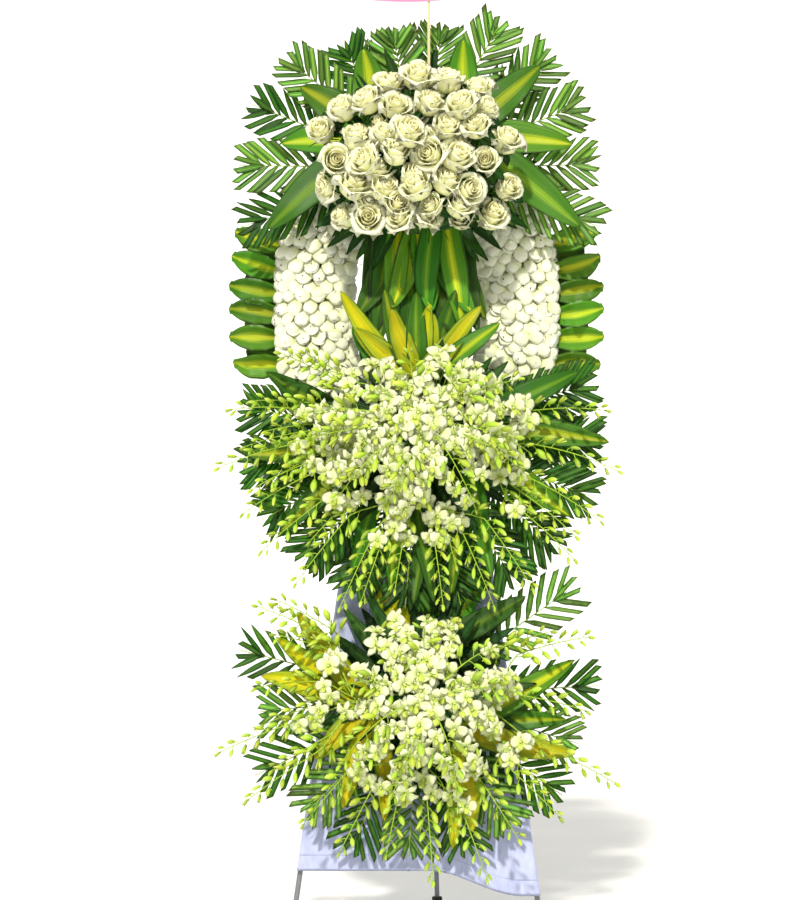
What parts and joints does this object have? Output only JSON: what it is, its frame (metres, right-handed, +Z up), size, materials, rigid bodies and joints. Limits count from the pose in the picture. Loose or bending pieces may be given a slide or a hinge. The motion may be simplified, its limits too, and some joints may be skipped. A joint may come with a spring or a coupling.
{
  "type": "funeral flower stand",
  "caption": "Tall funeral display: steel easel with a cloth skirt, an oval white wreath, a rose dome, two orchid sprays, palm fronds and a blank card.",
  "frame": {"origin": "on the floor, below the middle of the object's bounding box", "axes": "+Z up, -Y towards the viewer, +X to the viewer's right"},
  "size_m": [0.8898, 0.9388, 2.3184],
  "materials": {
    "steel": "grey paint on drawn steel rod",
    "foot_rubber": "matte black",
    "cloth": "pale lavender satin-weave cloth",
    "foam": "open-cell florists' foam",
    "petals": "soft white petal",
    "roses": "cream petal",
    "orchids": "waxy white petal",
    "orchid_buds": "yellow-green bud and stem",
    "palm": "glossy palm leaflet",
    "striped_leaf": "glossy green leaf with a yellow-green stripe",
    "yellow_leaf": "glossy yellow and green leaf",
    "bamboo": "bare bamboo",
    "card": "matte pink card, blank"
  },
  "bodies": {
    "root": {"apex_plate": "steel", "card_stick": "bamboo", "cloth_skirt": "cloth", "foam_lower": "foam", "foam_middle": "foam", "foam_top": "foam", "foot_left": "foot_rubber", "foot_rear": "foot_rubber", "foot_right": "foot_rubber", "front_leg_left": "steel", "front_leg_right": "steel", "leaves_hanging_back": "striped_leaf", "leaves_hanging_front": "striped_leaf", "leaves_lower_left": "yellow_leaf", "leaves_lower_right": "yellow_leaf", "leaves_lower_up": "striped_leaf", "leaves_middle_left": "striped_leaf", "leaves_middle_right": "striped_leaf", "leaves_rim_left": "striped_leaf", "leaves_rim_right": "striped_leaf", "leaves_standing": "striped_leaf", "leaves_top_left": "striped_leaf", "leaves_top_right": "striped_leaf", "message_card": "card", "orchids_lower_head": "orchids", "orchids_middle_head": "orchids", "palm_lower_left_back": "palm", "palm_lower_left_front": "palm", "palm_lower_right_back": "palm", "palm_lower_right_front": "palm", "palm_middle_left_back": "palm", "palm_middle_left_front": "palm", "palm_middle_right_back": "palm", "palm_middle_right_front": "palm", "palm_top_left_back": "palm", "palm_top_left_front": "palm", "palm_top_right_back": "palm", "palm_top_right_front": "palm", "rail_hem": "steel", "rail_lower_spray": "steel", "rail_wreath_foot": "steel", "rail_wreath_head": "steel", "rear_leg": "steel", "roses_row_1": "roses", "roses_row_2": "roses", "roses_row_3": "roses", "roses_row_4": "roses", "roses_row_5": "roses", "roses_row_6": "roses", "spray_lower_left": "orchid_buds", "spray_lower_low": "orchid_buds", "spray_lower_right": "orchid_buds", "spray_middle_left": "orchid_buds", "spray_middle_low": "orchid_buds", "spray_middle_right": "orchid_buds", "wreath_foam_ring": "foam", "wreath_petals_left": "petals", "wreath_petals_right": "petals"}
  },
  "joints": []
}
